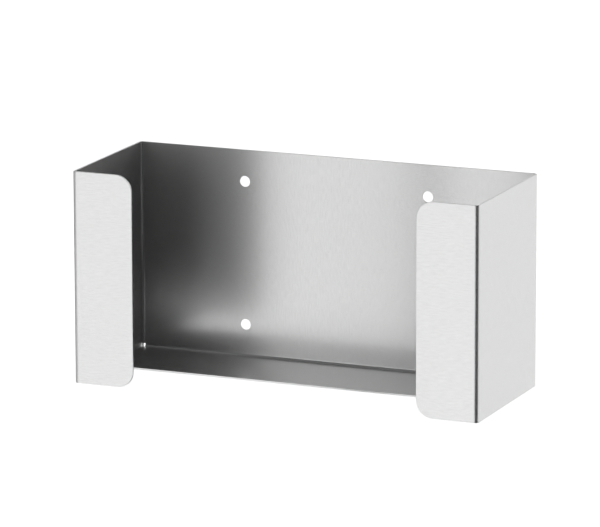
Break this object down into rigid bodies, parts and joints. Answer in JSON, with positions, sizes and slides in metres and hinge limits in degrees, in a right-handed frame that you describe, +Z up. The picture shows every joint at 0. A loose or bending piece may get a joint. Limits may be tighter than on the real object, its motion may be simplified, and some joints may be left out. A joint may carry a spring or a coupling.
{
  "type": "disposable glove dispenser",
  "caption": "Wall-mounted holder for a box of disposable gloves, folded from brushed stainless sheet: open top, open front between the flanges, half-depth floor and screw holes.",
  "frame": {"origin": "middle of the screw holes, on the rear face that lies against the wall", "axes": "+X along the wall across the width, +Y into the wall, +Z up"},
  "size_m": [0.25, 0.095, 0.125],
  "materials": {
    "stainless_steel": "satin brushed: the fine lines run up the back and sides, front to back on the floor and level on the flanges"
  },
  "bodies": {
    "root": {"folded_steel_holder": "stainless_steel"}
  },
  "joints": []
}
